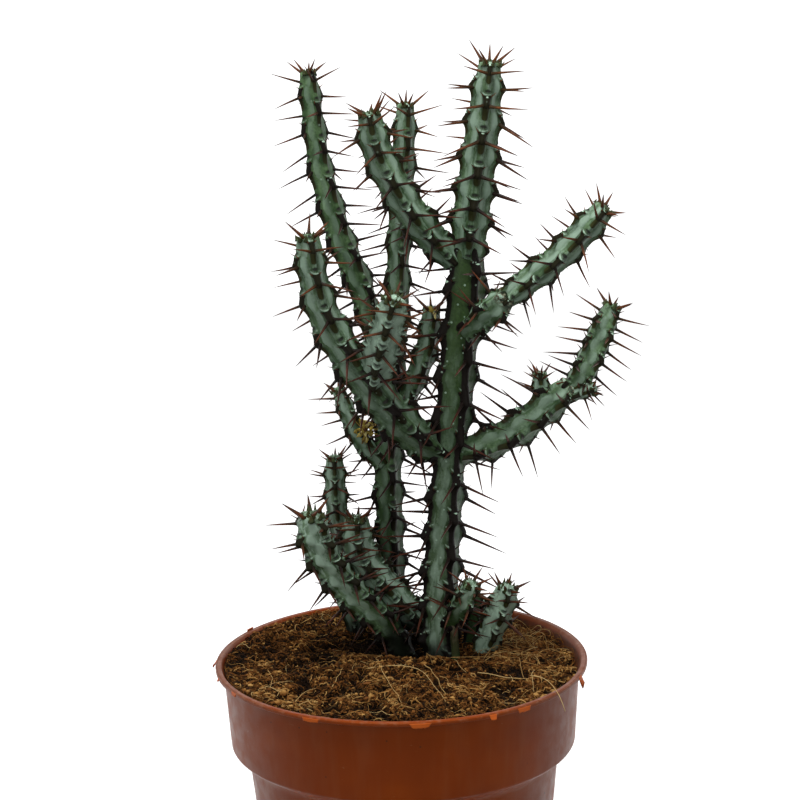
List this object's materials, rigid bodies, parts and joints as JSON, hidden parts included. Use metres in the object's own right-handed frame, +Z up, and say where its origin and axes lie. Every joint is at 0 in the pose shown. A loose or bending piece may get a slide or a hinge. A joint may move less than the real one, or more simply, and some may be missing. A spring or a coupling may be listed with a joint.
{
  "type": "potted euphorbia",
  "caption": "Branching succulent with upright ribbed spiny green stems, rooted in coir in a round plastic nursery pot with a deep collar.",
  "frame": {"origin": "middle of the pot's flat underside, on the pot's axis", "axes": "+Z up along the pot's axis, towards the stem tips; -Y towards the viewer in front of the plant; +X to that viewer's right"},
  "size_m": [0.133, 0.12, 0.2972],
  "materials": {
    "pot_plastic": "satin",
    "coir": "matte",
    "young_stem": "satin",
    "old_stem": "satin",
    "dry_stem": "matte",
    "dry_flower": "matte",
    "spine": "satin"
  },
  "bodies": {
    "root": {"pot": "pot_plastic", "coir": "coir", "main_trunk": "old_stem", "rear_trunk": "old_stem", "left_branch": "old_stem", "lower_right_branch": "old_stem", "low_left_stem": "old_stem", "old_stub": "old_stem", "trunk_top_shoot": "young_stem", "rear_thin_shoot": "young_stem", "tall_left_shoot": "young_stem", "inner_left_shoot": "young_stem", "front_shoot": "young_stem", "inner_shoot": "young_stem", "upper_right_stub": "young_stem", "upper_right_shoot": "young_stem", "lower_right_shoot": "young_stem", "side_bud": "young_stem", "branch_bud": "young_stem", "flowering_shoot": "young_stem", "left_upright_stem": "young_stem", "low_inner_stem": "young_stem", "low_right_stem": "young_stem", "stub_shoot": "young_stem", "dry_stalk": "dry_stem", "dry_flowers": "dry_flower"}
  },
  "joints": []
}
